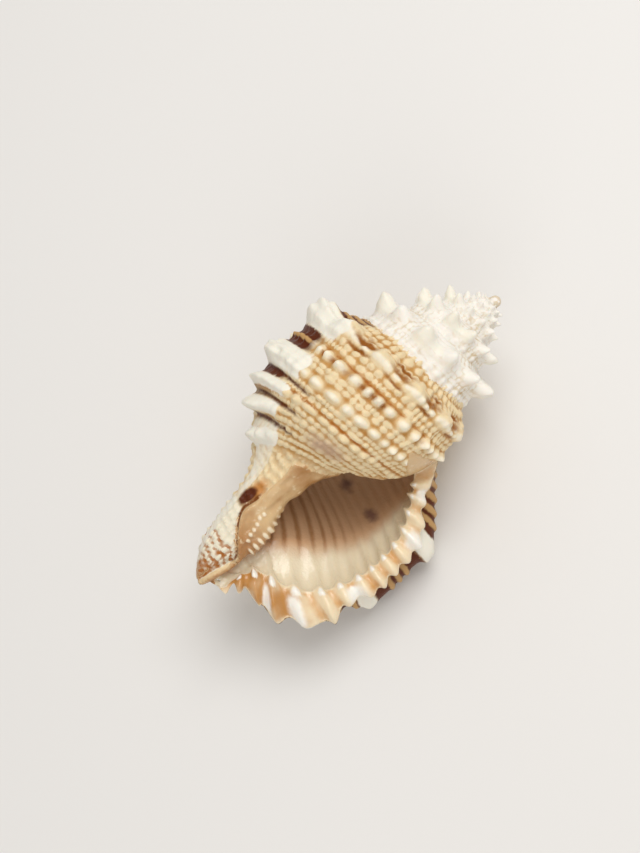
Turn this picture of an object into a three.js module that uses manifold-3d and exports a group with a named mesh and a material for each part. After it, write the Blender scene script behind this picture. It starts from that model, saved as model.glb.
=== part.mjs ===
// A frog shell, one grown piece: a spire of knobbed whorls, a last whorl with an open mouth,
// a flared and scalloped lip, and a short open canal at the front end.
//
// The shell is drawn first in its own growth frame: the coiling axis is Z with the apex at the
// origin and the canal below it, the mouth opens towards -Y, and the lip stands at +X.
// "turn" counts whorls back from the lip, so the lip is 0 and the apex is near -WHORLS.
// "level" is a point's depth below the apex, as it would be on the last whorl at the lip.
import * as THREE from "three";
import { mergeVertices } from "three/addons/utils/BufferGeometryUtils.js";
import Module from "manifold-3d";

const wasm = await Module();
wasm.setup();

// Driving dimensions, in millimetres.
const LENGTH = 80; // from the apex to the tip of the canal
const WHORLS = 6.25; // whorls in the shell
const WIDEN = 1.44; // each whorl is this many times as wide as the one before
const DESCEND = 1.55; // and lies this many times as far from the apex
const WALL = 1.9; // thickness of the shell wall near the mouth
const TOP_LEVEL = 28; // where a whorl joins the one above it
const NECK_LEVEL = 68; // where the body of the whorl gives way to the canal
const ROOF_LEVEL = 32; // the highest level that the hollow reaches
const LIP_START = -0.16; // the turn at which the lip begins to flare
const LAST_START = -1.02; // the last whorl's thin wall begins here, just under its own lip
const OLDER_END = -0.97; // the older whorls run a little way into the last one
const HOLLOW_START = -1.01; // where the hollow begins
const HOLLOW_END = 0.01; // and where it leaves the mouth, just past the lip
const MOUTH_START = -0.12; // from here on the hollow is drawn in finer steps
const OPENING_START = -0.1; // and here it begins to open out towards the margin of the mouth
const NECK_OPENS = -0.3; // from here on the neck opens into the canal
const CANAL_BEND = 4.5; // how far the tip of the canal leans to the lip's side
const BEND_START = 58; // the depth at which it begins to lean
const CANAL_END = 77; // the lip's side of the canal stops about here

// Radius of the last whorl at each level: ramp, shoulder, side, base and canal.
const whorlRadius = through([
  [28, 13.8], [31, 17], [34.5, 20], [37.5, 21.7], [42, 22.4], [47, 22.6], [52, 21.9],
  [57, 20], [60, 18.2], [62.5, 15.8], [65, 13], [68, 10], [71, 8.4], [75, 7.2], [80, 5.6],
]);
// Radius of the pillar and canal at each true depth.
const neckRadius = through([
  [45, 6.6], [50, 4.6], [54, 4.2], [65, 4.1], [70, 4.3], [75, 3.8], [77, 2.8], [80, 0.5],
]);
const pillarSwell = through([[56, 0], [60, 0.8], [66, 2], [68, 1.7], [71, 0.6], [80, 0]]);
// How far the lip's edge and the thick ridge behind it stand out at each level.
const edgeFlare = through([
  [28, 0], [34, 0], [37.5, 0.3], [40, 2.5], [42, 4.4], [47, 5.3], [52, 6.6], [57, 8.2],
  [61.5, 9.6], [66, 9.4], [70, 6.4], [75, 0.8], [80, 0],
]);
const ridgeFlare = through([
  [28, 0], [34, 1.5], [37.5, 3], [42, 6], [52, 6.2], [57, 5.2], [61.5, 4.3], [70, 2.2], [80, 0],
]);
// How far the mouth's inner margin stands out from the plain whorl at each level.
const marginFlare = through([
  [28, -2.5], [39, -2.5], [43, -0.6], [47, 1.6], [51, 2.8], [55, 3.8], [59, 4], [63, 3.4],
  [66, 1.6], [70, -0.9], [75, -1.3], [86, -1.3],
]);
// Strong cords round the whorl, as [level, half-width].
const CORDS = [[37.5, 2.2], [48.4, 2.2], [56.6, 1.9], [62.4, 1.6], [66.8, 1.4]];
const CORD_DRIFT = 3.6; // the cords run further from the apex as they cross the lip
const APEX_DEPTH = 0.4; // the apex is worn blunt, and starts this far down
const APEX_RADIUS = 1.5;
const KNOBS = 12; // shoulder knobs in each whorl
const KNOB_PHASE = -0.4; // where in its beat the first knob stands
const KNOB_HALF = 2.8; // half the width of a knob, from level to level
const KNOB_HEIGHT = 1.4; // height of a knob on the last whorl
const SPIRE_KNOB_EXTRA = 3; // the knobs of the spire are this much taller, for their size
const CORD_HEIGHT = 0.5;
const SCALLOP = 0.16; // how much a cord pushes out the lip's edge, as a share of its flare
const LIP_RIDGE_TURN = -0.05; // where the thick ridge behind the lip stands
const LIP_RIDGE_HALF = 0.03;
// Old lips, left standing as ridges, as [turn, height on the last whorl's scale].
const RIDGES = [[-0.52, 3.6], [-1.52, 1.6], [-2.02, 2.4], [-2.52, 2], [-3.02, 2.4], [-3.52, 3.4]];
const RIDGE_HALF = 0.032; // half the width of such a ridge, in turns
const COLUMN = 4.8; // radius of the pillar inside the whorls, on the last whorl's scale
const CORE = 3; // radius of the solid spindle along the axis

// How the shell lies: mouth up, tipped on to the knobs of its back, which are worn flat.
const REST_ROLL = 24.2; // degrees about the coiling axis, towards the lip
const REST_PITCH = 3.8; // degrees, canal end against apex
const WORN = 0.5; // how much the resting knobs have lost

// A smooth function through points [x, y] in order of x, level beyond the ends.
function through(points) {
  const slope = (k) => {
    const before = points[Math.max(k - 1, 0)];
    const after = points[Math.min(k + 1, points.length - 1)];
    return (after[1] - before[1]) / (after[0] - before[0]);
  };
  return (x) => {
    const beyond = points.findIndex((p) => p[0] > x);
    if (beyond === 0) return points[0][1];
    if (beyond < 0) return points.at(-1)[1];
    const [x0, y0] = points[beyond - 1];
    const [x1, y1] = points[beyond];
    const span = x1 - x0;
    const u = (x - x0) / span;
    const v = 1 - u;
    const ease = u * u * (3 - 2 * u);
    return y0 + (y1 - y0) * ease + span * (slope(beyond - 1) * u * v * v - slope(beyond) * u * u * v);
  };
}

// A soft step from 0 to 1 as x goes from one value to another, upwards or downwards.
const rise = (x, from, to) => THREE.MathUtils.smoothstep((x - from) / (to - from), 0, 1);
const hump = (x, centre, half) => Math.exp(-(((x - centre) / half) ** 2));

// The plain whorl before any sculpture, as radius and depth.
function plainWall(turn, level) {
  const size = WIDEN ** turn;
  if (turn < LAST_START || level <= NECK_LEVEL)
    return new THREE.Vector2(whorlRadius(level) * size, level * DESCEND ** turn);
  // On the last whorl the base runs on down the neck to the tip of the canal.
  const along = (level - NECK_LEVEL) / (LENGTH - NECK_LEVEL);
  const start = NECK_LEVEL * DESCEND ** turn;
  const depth = THREE.MathUtils.lerp(start, LENGTH, along);
  const swollen = rise(Math.cos(2 * Math.PI * turn), 0.1, 0.95) * rise(turn, -0.7, -0.95);
  const neck = (d) => neckRadius(d) + pillarSwell(d) * swollen;
  const lean = whorlRadius(NECK_LEVEL) * size - neck(start);
  const closed = neck(depth) + lean * (1 - along) ** 6;
  const wide = Math.max(whorlRadius(Math.min(depth, CANAL_END)), neck(depth));
  const open = neck(depth) + (wide - neck(depth)) * rise(depth, CANAL_END + 4, CANAL_END - 1);
  return new THREE.Vector2(THREE.MathUtils.lerp(closed, open, rise(turn, NECK_OPENS, 0)), depth);
}

// The sculpture's height above the plain whorl: cords, shoulder knobs, ridges and the lip.
function sculpture(turn, level) {
  const size = WIDEN ** turn;
  const cordLevel = level - CORD_DRIFT * rise(turn, -0.35, 0);
  const cord = Math.max(...CORDS.map(([at, half]) => hump(cordLevel, at, half)));
  const knobHeight = KNOB_HEIGHT + SPIRE_KNOB_EXTRA * rise(turn, -1.3, -1.9);
  const beat = 0.5 + 0.5 * Math.cos(2 * Math.PI * (KNOBS * turn + KNOB_PHASE));
  const knob = knobHeight * hump(level, CORDS[0][0], KNOB_HALF) * beat;
  const body = rise(level, 30, 36) * rise(level, 82, 66);
  const ridge = RIDGES.reduce((sum, [at, tall]) => sum + tall * hump(turn, at, RIDGE_HALF), 0);
  const edge = rise(turn, LIP_START, 0) ** 1.6;
  const scallop = 1 + SCALLOP * (cord - 0.5);
  const lip = edgeFlare(level) * edge * scallop * DESCEND ** -turn;
  const lipRidge = ridgeFlare(level) * hump(turn, LIP_RIDGE_TURN, LIP_RIDGE_HALF) * (0.92 + 0.14 * cord);
  return (CORD_HEIGHT * cord * body + knob + ridge * body * (0.72 + 0.4 * cord) + lip + lipRidge) * size;
}

// The outward direction of the plain whorl's outline in its own half plane.
function outward(turn, level) {
  const step = 0.4;
  const along = plainWall(turn, level + step).sub(plainWall(turn, level - step)).normalize();
  return new THREE.Vector2(along.y, -along.x);
}

function outerWall(turn, level) {
  return plainWall(turn, level).addScaledVector(outward(turn, level), sculpture(turn, level));
}

// The hollow's outer side, one wall inside the plain whorl and opening out at the mouth.
function hollowWall(turn, level) {
  const opening = rise(turn, OPENING_START, 0) ** 1.5;
  const inset = THREE.MathUtils.lerp(-WALL * WIDEN ** turn, marginFlare(level), opening);
  const plain = plainWall(turn, Math.min(level, LENGTH));
  const point = plain.addScaledVector(outward(turn, Math.min(level, LENGTH - 1)), inset);
  if (level > LENGTH) point.y += level - LENGTH;
  // Behind the mouth the canal is closed, so the hollow narrows to nothing there.
  const pillar = hollowPillar(turn, level);
  const shut = rise(level, NECK_LEVEL - 6, NECK_LEVEL + 2) * rise(turn, -0.06, -0.16);
  point.x = Math.max(THREE.MathUtils.lerp(point.x, pillar.x + 0.6, shut), pillar.x + 0.5);
  return point;
}

// The hollow's inner side, the pillar that the whorls coil round.
function hollowPillar(turn, level) {
  const size = WIDEN ** turn;
  const depth = level > LENGTH ? level : plainWall(turn, level).y;
  const solidDepth = Math.min(depth, LENGTH);
  const canal = neckRadius(solidDepth) + pillarSwell(solidDepth) - 4 * rise(depth, 70, 79);
  const radius = THREE.MathUtils.lerp(COLUMN * size, canal, rise(turn, NECK_OPENS, 0));
  return new THREE.Vector2(Math.max(radius, 0.4), depth);
}

// Radius of the solid core at each depth, narrow at the apex and at the canal's tip.
const coreRadius = (depth) => CORE * Math.max(Math.min((depth / 28) ** 0.83, 1, (LENGTH - depth) / 20), 0);

// From a radius and a depth at a turn to a point in the growth frame, with the canal's lean.
function place(turn, point) {
  const angle = 2 * Math.PI * turn;
  const lean = CANAL_BEND * Math.max((point.y - BEND_START) / (LENGTH - BEND_START), 0) ** 1.6;
  return new THREE.Vector3(point.x * Math.cos(angle) + lean, -point.x * Math.sin(angle), -point.y);
}

// A closed block of shell between two turns. Each column is an outline from top to bottom, on
// the outside and on the inside; inside(turn, row) may give the same point for every turn.
function block(turns, levels, outside, inside) {
  const columns = turns.map((turn) => ({
    out: levels.map((level) => outside(turn, level)),
    in: levels.map((level) => inside(turn, level)),
  }));
  const triangles = [];
  const quad = (a, b, c, d) => triangles.push(a, b, c, a, c, d);
  const last = levels.length - 1;
  for (let i = 0; i + 1 < columns.length; i++) {
    const here = columns[i];
    const next = columns[i + 1];
    for (let j = 0; j < last; j++) {
      quad(here.out[j], next.out[j], next.out[j + 1], here.out[j + 1]);
      quad(here.in[j], here.in[j + 1], next.in[j + 1], next.in[j]);
    }
    quad(here.in[0], next.in[0], next.out[0], here.out[0]);
    quad(here.in[last], here.out[last], next.out[last], next.in[last]);
  }
  const first = columns[0];
  const end = columns.at(-1);
  for (let j = 0; j < last; j++) {
    quad(first.in[j], first.out[j], first.out[j + 1], first.in[j + 1]);
    quad(end.in[j], end.in[j + 1], end.out[j + 1], end.out[j]);
  }
  return solid(new THREE.BufferGeometry().setFromPoints(triangles));
}

// Only the positions of a geometry from three.js.
function bare(geometry) {
  geometry.deleteAttribute("normal");
  geometry.deleteAttribute("uv");
  return geometry.toNonIndexed();
}

// A closed geometry as a solid. Faces that have collapsed to a line are dropped.
function solid(geometry, tolerance = 1e-4) {
  const merged = mergeVertices(geometry, tolerance);
  const all = merged.index.array;
  const kept = [];
  for (let i = 0; i < all.length; i += 3) {
    const [a, b, c] = all.slice(i, i + 3);
    if (a !== b && b !== c && c !== a) kept.push(a, b, c);
  }
  return new wasm.Manifold(
    new wasm.Mesh({
      numProp: 3,
      vertProperties: merged.attributes.position.array,
      triVerts: new Uint32Array(kept),
    }),
  );
}

// Even steps from one value to another, both ends included.
const steps = (from, to, count) =>
  Array.from({ length: count + 1 }, (_, i) => from + ((to - from) * i) / count);

// Solid whorls between two turns, with a thin hole along the axis that the core fills.
function whorls(from, to, perWhorl, levels) {
  const inner = (turn, level) => {
    const depth = plainWall(turn, level).y;
    return place(turn, new THREE.Vector2(0.7 * coreRadius(depth), depth));
  };
  return arcs(from, to, perWhorl).map((turns) =>
    block(turns, levels, (turn, level) => place(turn, outerWall(turn, level)), inner),
  );
}

// The spindle along the coiling axis, from the apex to the tip of the canal.
function core() {
  const outline = steps(APEX_DEPTH, LENGTH, 20).map((depth) => new THREE.Vector2(coreRadius(depth), depth));
  outline.unshift(new THREE.Vector2(0, APEX_DEPTH));
  outline.push(new THREE.Vector2(0, LENGTH));
  const spindle = new THREE.LatheGeometry(outline, 10).toNonIndexed();
  const points = spindle.attributes.position;
  const leaned = [];
  for (let i = 0; i < points.count; i++) {
    leaned.push(place(0, new THREE.Vector2(points.getX(i), points.getY(i))).setY(points.getZ(i)));
  }
  return solid(new THREE.BufferGeometry().setFromPoints(leaned));
}

function hollow(from, to, perWhorl, levels) {
  return arcs(from, to, perWhorl).map((turns) =>
    block(
      turns, levels,
      (turn, level) => place(turn, hollowWall(turn, level)),
      (turn, level) => place(turn, hollowPillar(turn, level)),
    ),
  );
}

// The turns of each block's columns, in blocks of at most a third of a turn.
function arcs(from, to, perWhorl) {
  const count = Math.ceil((to - from) * 3);
  const ends = steps(from, to, count);
  return ends.slice(1).map((end, i) => steps(ends[i], end, Math.round((end - ends[i]) * perWhorl)));
}

const joined = (pieces) => pieces.reduce((whole, piece) => whole.add(piece));

const bodyLevels = [...steps(TOP_LEVEL, 36, 3), ...steps(38, NECK_LEVEL, 14), ...steps(70, LENGTH - 0.4, 5)];
const hollowLevels = [...steps(ROOF_LEVEL, NECK_LEVEL, 7), ...steps(71, 84, 4)];
const spireLevels = [...steps(TOP_LEVEL, 43, 5), 48, 56, 66];

const lastWhorl = joined([
  ...whorls(LAST_START, LIP_START, 48, bodyLevels),
  ...whorls(LIP_START, 0, 96, bodyLevels),
]);
const mouth = joined([
  ...hollow(HOLLOW_START, MOUTH_START, 20, hollowLevels),
  ...hollow(MOUTH_START, HOLLOW_END, 64, hollowLevels),
]);
const older = joined(whorls(-WHORLS, OLDER_END, 48, spireLevels));
const apex = new THREE.SphereGeometry(APEX_RADIUS, 12, 8).translate(0, 0, -APEX_DEPTH - APEX_RADIUS);
const grown = lastWhorl.subtract(mouth).add(older).add(core()).add(solid(bare(apex)));

// Back from a solid to a geometry for three.js.
function geometryOf(made) {
  const mesh = made.getMesh();
  const geometry = new THREE.BufferGeometry();
  geometry.setAttribute("position", new THREE.BufferAttribute(new Float32Array(mesh.vertProperties), 3));
  geometry.setIndex(new THREE.BufferAttribute(new Uint32Array(mesh.triVerts), 1));
  return geometry;
}

// Laid mouth up with the apex towards +X, sunk by WORN and cut off level with the ground.
const layDown = new THREE.Matrix4()
  .makeRotationY(THREE.MathUtils.degToRad(REST_PITCH))
  .multiply(new THREE.Matrix4().makeBasis(
    new THREE.Vector3(0, -1, 0), new THREE.Vector3(0, 0, -1), new THREE.Vector3(1, 0, 0)))
  .multiply(new THREE.Matrix4().makeRotationZ(THREE.MathUtils.degToRad(REST_ROLL)));
const lying = geometryOf(grown).applyMatrix4(layDown);
lying.computeBoundingBox();
lying.translate(0, 0, -lying.boundingBox.min.z - WORN);
const ground = new THREE.BoxGeometry(4 * LENGTH, 4 * LENGTH, LENGTH).translate(0, 0, -LENGTH / 2);
const resting = solid(lying.toNonIndexed()).subtract(solid(bare(ground)));

// The joins leave a few flat slivers of no volume: only the shell itself is kept.
const bodies = solid(geometryOf(resting).toNonIndexed(), 2e-3).decompose();
const whole = bodies.reduce((most, body) => (body.volume() > most.volume() ? body : most));
const geometry = geometryOf(whole);
geometry.computeBoundingBox();
const middle = geometry.boundingBox.getCenter(new THREE.Vector3());
geometry.translate(-middle.x, -middle.y, 0);

const shellMaterial = new THREE.MeshStandardMaterial({ color: 0xe9d3ab, roughness: 0.45, metalness: 0 });
const shell = new THREE.Mesh(geometry, shellMaterial);
shell.name = "frog_shell";
const group = new THREE.Group();
group.add(shell);
export default group;
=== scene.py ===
# %% [markdown]
# # A frog shell
# A frog shell is grown, not built. The animal adds wall only at the lip of its mouth, and every
# new turn is a little wider than the last, so one outline swept along a widening spiral gives the
# whole shell. It could be sculpted by hand, but then no two knobs would follow the same law of
# growth. Three kinds of wall come out of the sweep here: the wall of the last whorl, which is thin
# and hollow, the older whorls, which are closed off inside, and the pillar in the middle.

# %% The frame
import math

import bpy
import numpy as np
from mathutils import Matrix, Vector, kdtree


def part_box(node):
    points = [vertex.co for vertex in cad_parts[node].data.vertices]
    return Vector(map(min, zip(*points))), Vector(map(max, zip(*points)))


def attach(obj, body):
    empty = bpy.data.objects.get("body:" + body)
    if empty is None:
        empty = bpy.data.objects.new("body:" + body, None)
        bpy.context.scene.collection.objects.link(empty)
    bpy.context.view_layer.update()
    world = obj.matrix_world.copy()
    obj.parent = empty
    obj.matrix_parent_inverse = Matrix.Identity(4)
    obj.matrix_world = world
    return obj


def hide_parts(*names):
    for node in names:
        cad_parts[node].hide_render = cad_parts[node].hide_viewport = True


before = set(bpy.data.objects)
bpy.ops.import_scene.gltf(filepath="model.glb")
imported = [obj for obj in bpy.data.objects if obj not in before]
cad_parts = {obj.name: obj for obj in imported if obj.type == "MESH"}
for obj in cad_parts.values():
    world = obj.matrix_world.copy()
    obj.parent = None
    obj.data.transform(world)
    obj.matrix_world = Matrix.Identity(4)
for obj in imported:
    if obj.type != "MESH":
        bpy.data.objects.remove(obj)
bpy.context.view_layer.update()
NODE = "frog_shell"
node_low, node_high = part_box(NODE)
print("the solid shell measures", [round((b - a) * 1000, 1) for a, b in zip(node_low, node_high)], "mm")

# %% [markdown]
# Growth is easiest to write in the shell's own terms, in millimetres: how many turns back from
# the lip, and at which level between the suture and the tip of the canal. These are the driving
# sizes, nearly all of them the same as in the solid shell. A turn is counted from the lip, where
# it is 0, back to the apex, where it is `-WHORLS`.

# %% Driving sizes
LENGTH = 80.0
WHORLS = 6.5
WIDEN = 1.44
DESCEND = 1.55
TOP_LEVEL = 28.0
NECK_LEVEL = 68.0
WALL = 1.7
BEND_START = 58.0
CANAL_BEND = 4.5
CANAL_OPENS = -0.17
LIP_START = -0.125
RIDGE_TURN = -0.038
MM = 0.001
print("the shell has", WHORLS, "whorls over", LENGTH, "mm")

# %% [markdown]
# A few small tools do most of the drawing: a soft step, a soft bump, a smooth line through a few
# points, and a slow drift that keeps any two beads from being the same. A drawn curve with the
# numbers beside it is easier to correct than a mesh moved by hand.

# %% Curve tools
def rise(x, start, end):
    u = np.clip((x - start) / (end - start), 0, 1)
    return u * u * (3 - 2 * u)


def hump(x, centre, half):
    return np.exp(-(((x - centre) / half) ** 2))


def beat(x):
    """From 0 to 1 and back, once for each unit of x, and highest at whole numbers."""
    return 0.5 + 0.5 * np.cos(2 * np.pi * x)


def through(points):
    xs, ys = np.array(points, float).T
    slopes = np.gradient(ys, xs)

    def curve(x):
        x = np.clip(x, xs[0], xs[-1])
        k = np.clip(np.searchsorted(xs, x, side="right") - 1, 0, len(xs) - 2)
        span = xs[k + 1] - xs[k]
        u = (x - xs[k]) / span
        ease = u * u * (3 - 2 * u)
        bend = span * (slopes[k] * u * (1 - u) ** 2 - slopes[k + 1] * u * u * (1 - u))
        return ys[k] + (ys[k + 1] - ys[k]) * ease + bend

    return curve


DRIFTS = 64
drift_heights = np.random.default_rng(7).random((DRIFTS, DRIFTS))


def drift(a, b=0.0):
    """Smooth noise from 0 to 1 over two coordinates, one height to a unit."""
    b = b + 0.0 * a
    i = np.floor(a).astype(int)
    j = np.floor(b).astype(int)
    u = rise(a - i, 0, 1)
    v = rise(b - j, 0, 1)
    corners = [[drift_heights[(i + p) % DRIFTS, (j + q) % DRIFTS] for p in (0, 1)] for q in (0, 1)]
    near, far = [left + (right - left) * u for left, right in corners]
    return near + (far - near) * v


print("the drift lies round", round(float(drift_heights.mean()), 2))

# %% [markdown]
# ## The growing outline
# The outline of a whorl has a sloping ramp under the suture, a shoulder, a rounded side, a base
# and a neck that runs down into the canal. The older the turn, the smaller its copy: a turn back
# it is `WIDEN` times narrower and `DESCEND` times nearer the apex. The neck alone doesn't shrink
# like that, because every whorl lays its own neck round the same pillar.

# %% Outline of the whorl
whorl_radius = through([
    (28, 13.8), (31, 17), (34.5, 20), (37.5, 21.6), (42, 22.3), (47, 22.5), (52, 21.8),
    (57, 19.9), (60, 18), (62.5, 15.4), (65, 12.4), (68, 9.3), (71, 7.8), (75, 7), (80, 5.6),
])
neck_radius = through([
    (45, 6.2), (50, 4.2), (54, 3.9), (65, 3.7), (70, 3.6), (75, 3.1), (77, 2.3), (80, 0.3),
])
pillar_swell = through([(56, 0), (60, 0.9), (66, 2.4), (68, 2.0), (71, 0.8), (80, 0)])


def swollen(turn):
    """The pillar swells only on the side of the mouth."""
    return rise(np.cos(2 * np.pi * turn), 0.1, 0.95)


def plain_wall(turn, level):
    """Radius and depth of the smooth whorl."""
    size = WIDEN ** turn
    radius = whorl_radius(level) * size
    depth = level * DESCEND ** turn
    along = np.clip((level - NECK_LEVEL) / (LENGTH - NECK_LEVEL), 0, 1)
    start = NECK_LEVEL * DESCEND ** turn
    neck_depth = start + (LENGTH - start) * along
    swell = swollen(turn) * rise(turn, -0.7, -0.95)
    neck = neck_radius(neck_depth) + pillar_swell(neck_depth) * swell
    neck_top = neck_radius(start) + pillar_swell(start) * swell
    lean = whorl_radius(NECK_LEVEL) * size - neck_top
    lip_side = np.maximum(whorl_radius(np.minimum(neck_depth, 77)), neck) * rise(neck_depth, 81, 76)
    closed = neck + lean * (1 - along) ** 7
    neck_now = closed + (np.maximum(lip_side, 0.5) - closed) * rise(turn, CANAL_OPENS, 0)
    below = level > NECK_LEVEL
    return np.where(below, neck_now, radius), np.where(below, neck_depth, depth)


def outward(turn, level):
    """Direction straight out of the smooth whorl, in its own half plane."""
    r0, d0 = plain_wall(turn, level - 0.4)
    r1, d1 = plain_wall(turn, level + 0.4)
    length = np.hypot(r1 - r0, d1 - d0)
    return (d1 - d0) / length, -(r1 - r0) / length


def canal_lean(depth):
    """How far the canal bends over to the side of the lip."""
    return CANAL_BEND * np.maximum((depth - BEND_START) / (LENGTH - BEND_START), 0) ** 1.6


def place(turn, radius, depth, forward=0.0):
    """A point of growth: the apex at the origin, the canal below, the mouth towards -Y."""
    angle = 2 * np.pi * turn
    x = radius * np.cos(angle) + canal_lean(depth)
    y = -radius * np.sin(angle) - forward
    return np.stack([x, y, -depth], -1)


print("without its lip the last whorl is", round(2 * float(whorl_radius(47.0)), 1), "mm wide")

# %% [markdown]
# ## Sculpture
# Frog shells are covered in spiral rows of beads. Each row below has its level, half width,
# height, number of beads in a turn, and how far the beads stand out of their cord. The beads of
# neighbouring rows nearly line up into ribs, because the lip made them at the same time. Beads
# could be stamped on as separate balls, but real ones are swellings of the same wall, so they are
# a height of the wall.

# %% Rows of beads
ROWS = [
    (29.6, 0.85, 1.0, 62, 0.9), (31.7, 0.85, 1.05, 56, 0.9), (33.7, 0.75, 0.95, 62, 0.85),
    (35.4, 0.75, 0.7, 56, 0.85), (37.3, 0.85, 0.9, 56, 0.85),
    (39.4, 0.7, 0.8, 72, 0.85), (41.2, 0.65, 0.7, 84, 0.85),
    (44.2, 1.5, 2.0, 40, 0.85), (46.9, 0.6, 0.6, 84, 0.8), (48.4, 0.65, 0.75, 72, 0.8),
    (50.9, 1.25, 1.6, 40, 0.85), (53.3, 0.6, 0.7, 84, 0.8), (54.9, 0.6, 0.65, 72, 0.8),
    (57.0, 0.9, 1.1, 44, 0.8), (58.9, 0.5, 0.55, 84, 0.75), (60.5, 0.7, 0.85, 48, 0.75),
    (62.2, 0.45, 0.5, 84, 0.7), (63.8, 0.65, 0.8, 48, 0.75), (65.4, 0.45, 0.45, 84, 0.7),
    (66.9, 0.55, 0.6, 48, 0.7),
]
NODULE_ROW = 7
NECK_CORD = 1.75
NECK_BEADS = 26


def bead_beat(turn, row, count):
    """From 0 between the beads of a row to 1 on a bead."""
    together = 1.6 * (drift(turn * 11) - 0.5)
    apart = 0.9 * (drift(turn * count * 0.35, row + 20) - 0.5)
    return beat(count * turn + (together + apart) * count / 48)


def beads(turn, level):
    """Height of the beaded rows, and how high on a bead each place is, from 0 to 1."""
    height = np.zeros_like(turn)
    top = np.zeros_like(turn)
    for row, (at, half, tall, count, stand) in enumerate(ROWS):
        wander = 0.9 * (drift(turn * 10, level * 0.06) - 0.5) + 0.4 * (drift(turn * 31, row) - 0.5)
        across = hump(level, at + wander, half * (0.8 + 0.4 * drift(turn * 37, row + 30)))
        uneven = 0.45 + 1.0 * drift(turn * count * 0.8, row + 40)
        fused = stand * (0.85 + 0.15 * drift(turn * 13, row + 10))
        along = 1 - fused + fused * bead_beat(turn, row, count) ** 0.85
        height += tall * across * along * uneven
        top = np.maximum(top, across * along * (0.6 + 0.4 * uneven))
    # Low ribs join the beads of neighbouring rows, and slow swellings run over them all.
    height *= 1 - 0.6 * rise(turn, -1.25, -1.6)
    rib = bead_beat(turn, NODULE_ROW, ROWS[NODULE_ROW][3]) ** 1.5
    rib = rib * (0.4 + 1.2 * drift(turn * 33, level * 0.15))
    height += 0.4 * rib * hump(level, 46, 10) + 0.5 * (drift(turn * 26, level * 0.3) - 0.5)
    # On the neck the cords run down towards the canal, an even distance apart.
    cords = plain_wall(turn, level)[1] / NECK_CORD + 2.2 * turn + 1.1 * drift(turn * 12, level * 0.3)
    cord = beat(cords) * rise(level, 67.4, 68.6) * rise(level, 79.6, 77)
    bead = 0.35 + 0.65 * beat(NECK_BEADS * turn + 1.6 * drift(turn * 14, cords))
    height += 0.65 * cord * bead / WIDEN ** turn
    return height, np.maximum(top, cord * bead)


print("the last whorl has", sum(row[3] for row in ROWS), "beads in", len(ROWS), "rows")

# %% [markdown]
# The shoulder of each whorl carries blunt knobs. In the spire they are sharper and run out into
# low folds, and in the last whorl there are deep stained pits between them. Both follow one beat
# round the whorl, so a deep pit always falls between two knobs. Smaller pits lie between the
# beads of the largest row.

# %% Knobs and pits of the shoulder
SHOULDER = 36.2
KNOBS = 12
KNOB_PHASE = 0.42
PIT_STREAKS = [(34.0, 0.5), (35.8, 1.05), (38.3, 0.4)]


def knobs(turn, level):
    """Height of the shoulder knobs, and how high on a knob each place is."""
    spire = rise(turn, -1.25, -1.9)
    shape = beat(KNOBS * turn + KNOB_PHASE) ** (1.3 + 0.7 * spire)
    tall = (2.1 + 3.3 * spire) * (0.7 + 0.6 * drift(turn * KNOBS, 60))
    height = 0.5 * hump(level, SHOULDER, 2.2) + tall * shape * hump(level, SHOULDER, 2.0 + 0.3 * spire)
    # In the spire each knob runs out above and below into a low fold.
    folds = beat(KNOBS * turn + KNOB_PHASE + 0.02 * (level - SHOULDER)) ** 1.3
    height += 1.5 * spire * folds * hump(level, SHOULDER + 3, 7) * (0.5 + drift(turn * 17, level * 0.1))
    return height, shape * hump(level, SHOULDER, 2.0)


def pits(turn, level):
    """Deep stained streaks between the knobs, and smaller pits between the big nodules."""
    last = rise(turn, -1.4, -1.1) * rise(turn, -0.1, -0.14)
    gap = (1 - beat(KNOBS * turn + KNOB_PHASE)) ** 0.8
    sagging = level + 0.9 * (drift(turn * 17, 70) - 0.5)
    streaks = np.max([hump(sagging, at, half) for at, half in PIT_STREAKS], axis=0)
    big = gap * streaks * (0.3 + drift(turn * 15, level * 0.3))
    at, _, _, count, _ = ROWS[NODULE_ROW]
    between = (1 - bead_beat(turn, NODULE_ROW, count)) ** 1.5 * rise(drift(turn * 19, 80), 0.25, 0.6)
    small = 0.8 * between * hump(level, at, 1.1)
    return np.maximum(big, small) * last


print("each whorl has", KNOBS, "knobs")

# %% [markdown]
# Every half turn or so the animal stopped and built a thick lip, and the old lips are left
# standing as ridges, each called a varix. Across one the cords swell into white knobs, and between
# the knobs lie dark brown grooves with thin tan ribs in them. A varix climbs in two steps, then
# drops at once, as the lip did. The last one before the mouth is the strongest.

# %% Old lips
# The turn and the height of each varix, and the level and half width of each knob, gap and rib.
VARICES = [
    (-0.52, 3.5), (-1.52, 1.5), (-1.70, 1.3), (-2.02, 2.0),
    (-2.52, 2.0), (-2.70, 1.5), (-3.02, 2.0), (-3.52, 2.6),
]
WHITES = [(37.8, 3.7), (50.0, 4.0), (56.6, 1.7), (61.0, 1.5), (66.3, 2.0)]
GAPS = [(53.6, 0.7), (59.1, 0.6), (63.2, 0.7)]
LIP_WHITES = [(42.3, 2.3), (56.2, 1.9), (65.6, 1.9), (73.0, 1.6)]
TAN_RIBS = [
    (at, 0.62)
    for at in (28.2, 29.9, 31.6, 33.2, 35.0, 36.8, 38.6, 43.9, 47.4, 49.2, 51.0, 58.4, 61.6)
]


def varix(turn):
    """How high the old lips stand at each turn."""
    total = np.zeros_like(turn)
    for at, tall in VARICES:
        climb = 0.45 * rise(turn, at - 0.115, at - 0.09) + 0.55 * rise(turn, at - 0.09, at - 0.01)
        total += tall * climb * rise(turn, at + 0.028, at + 0.004)
    return total


def highest(level, places_and_halves):
    return np.max([hump(level, at, half) for at, half in places_and_halves], axis=0)


print("the shell has", len(VARICES), "old lips")

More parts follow.
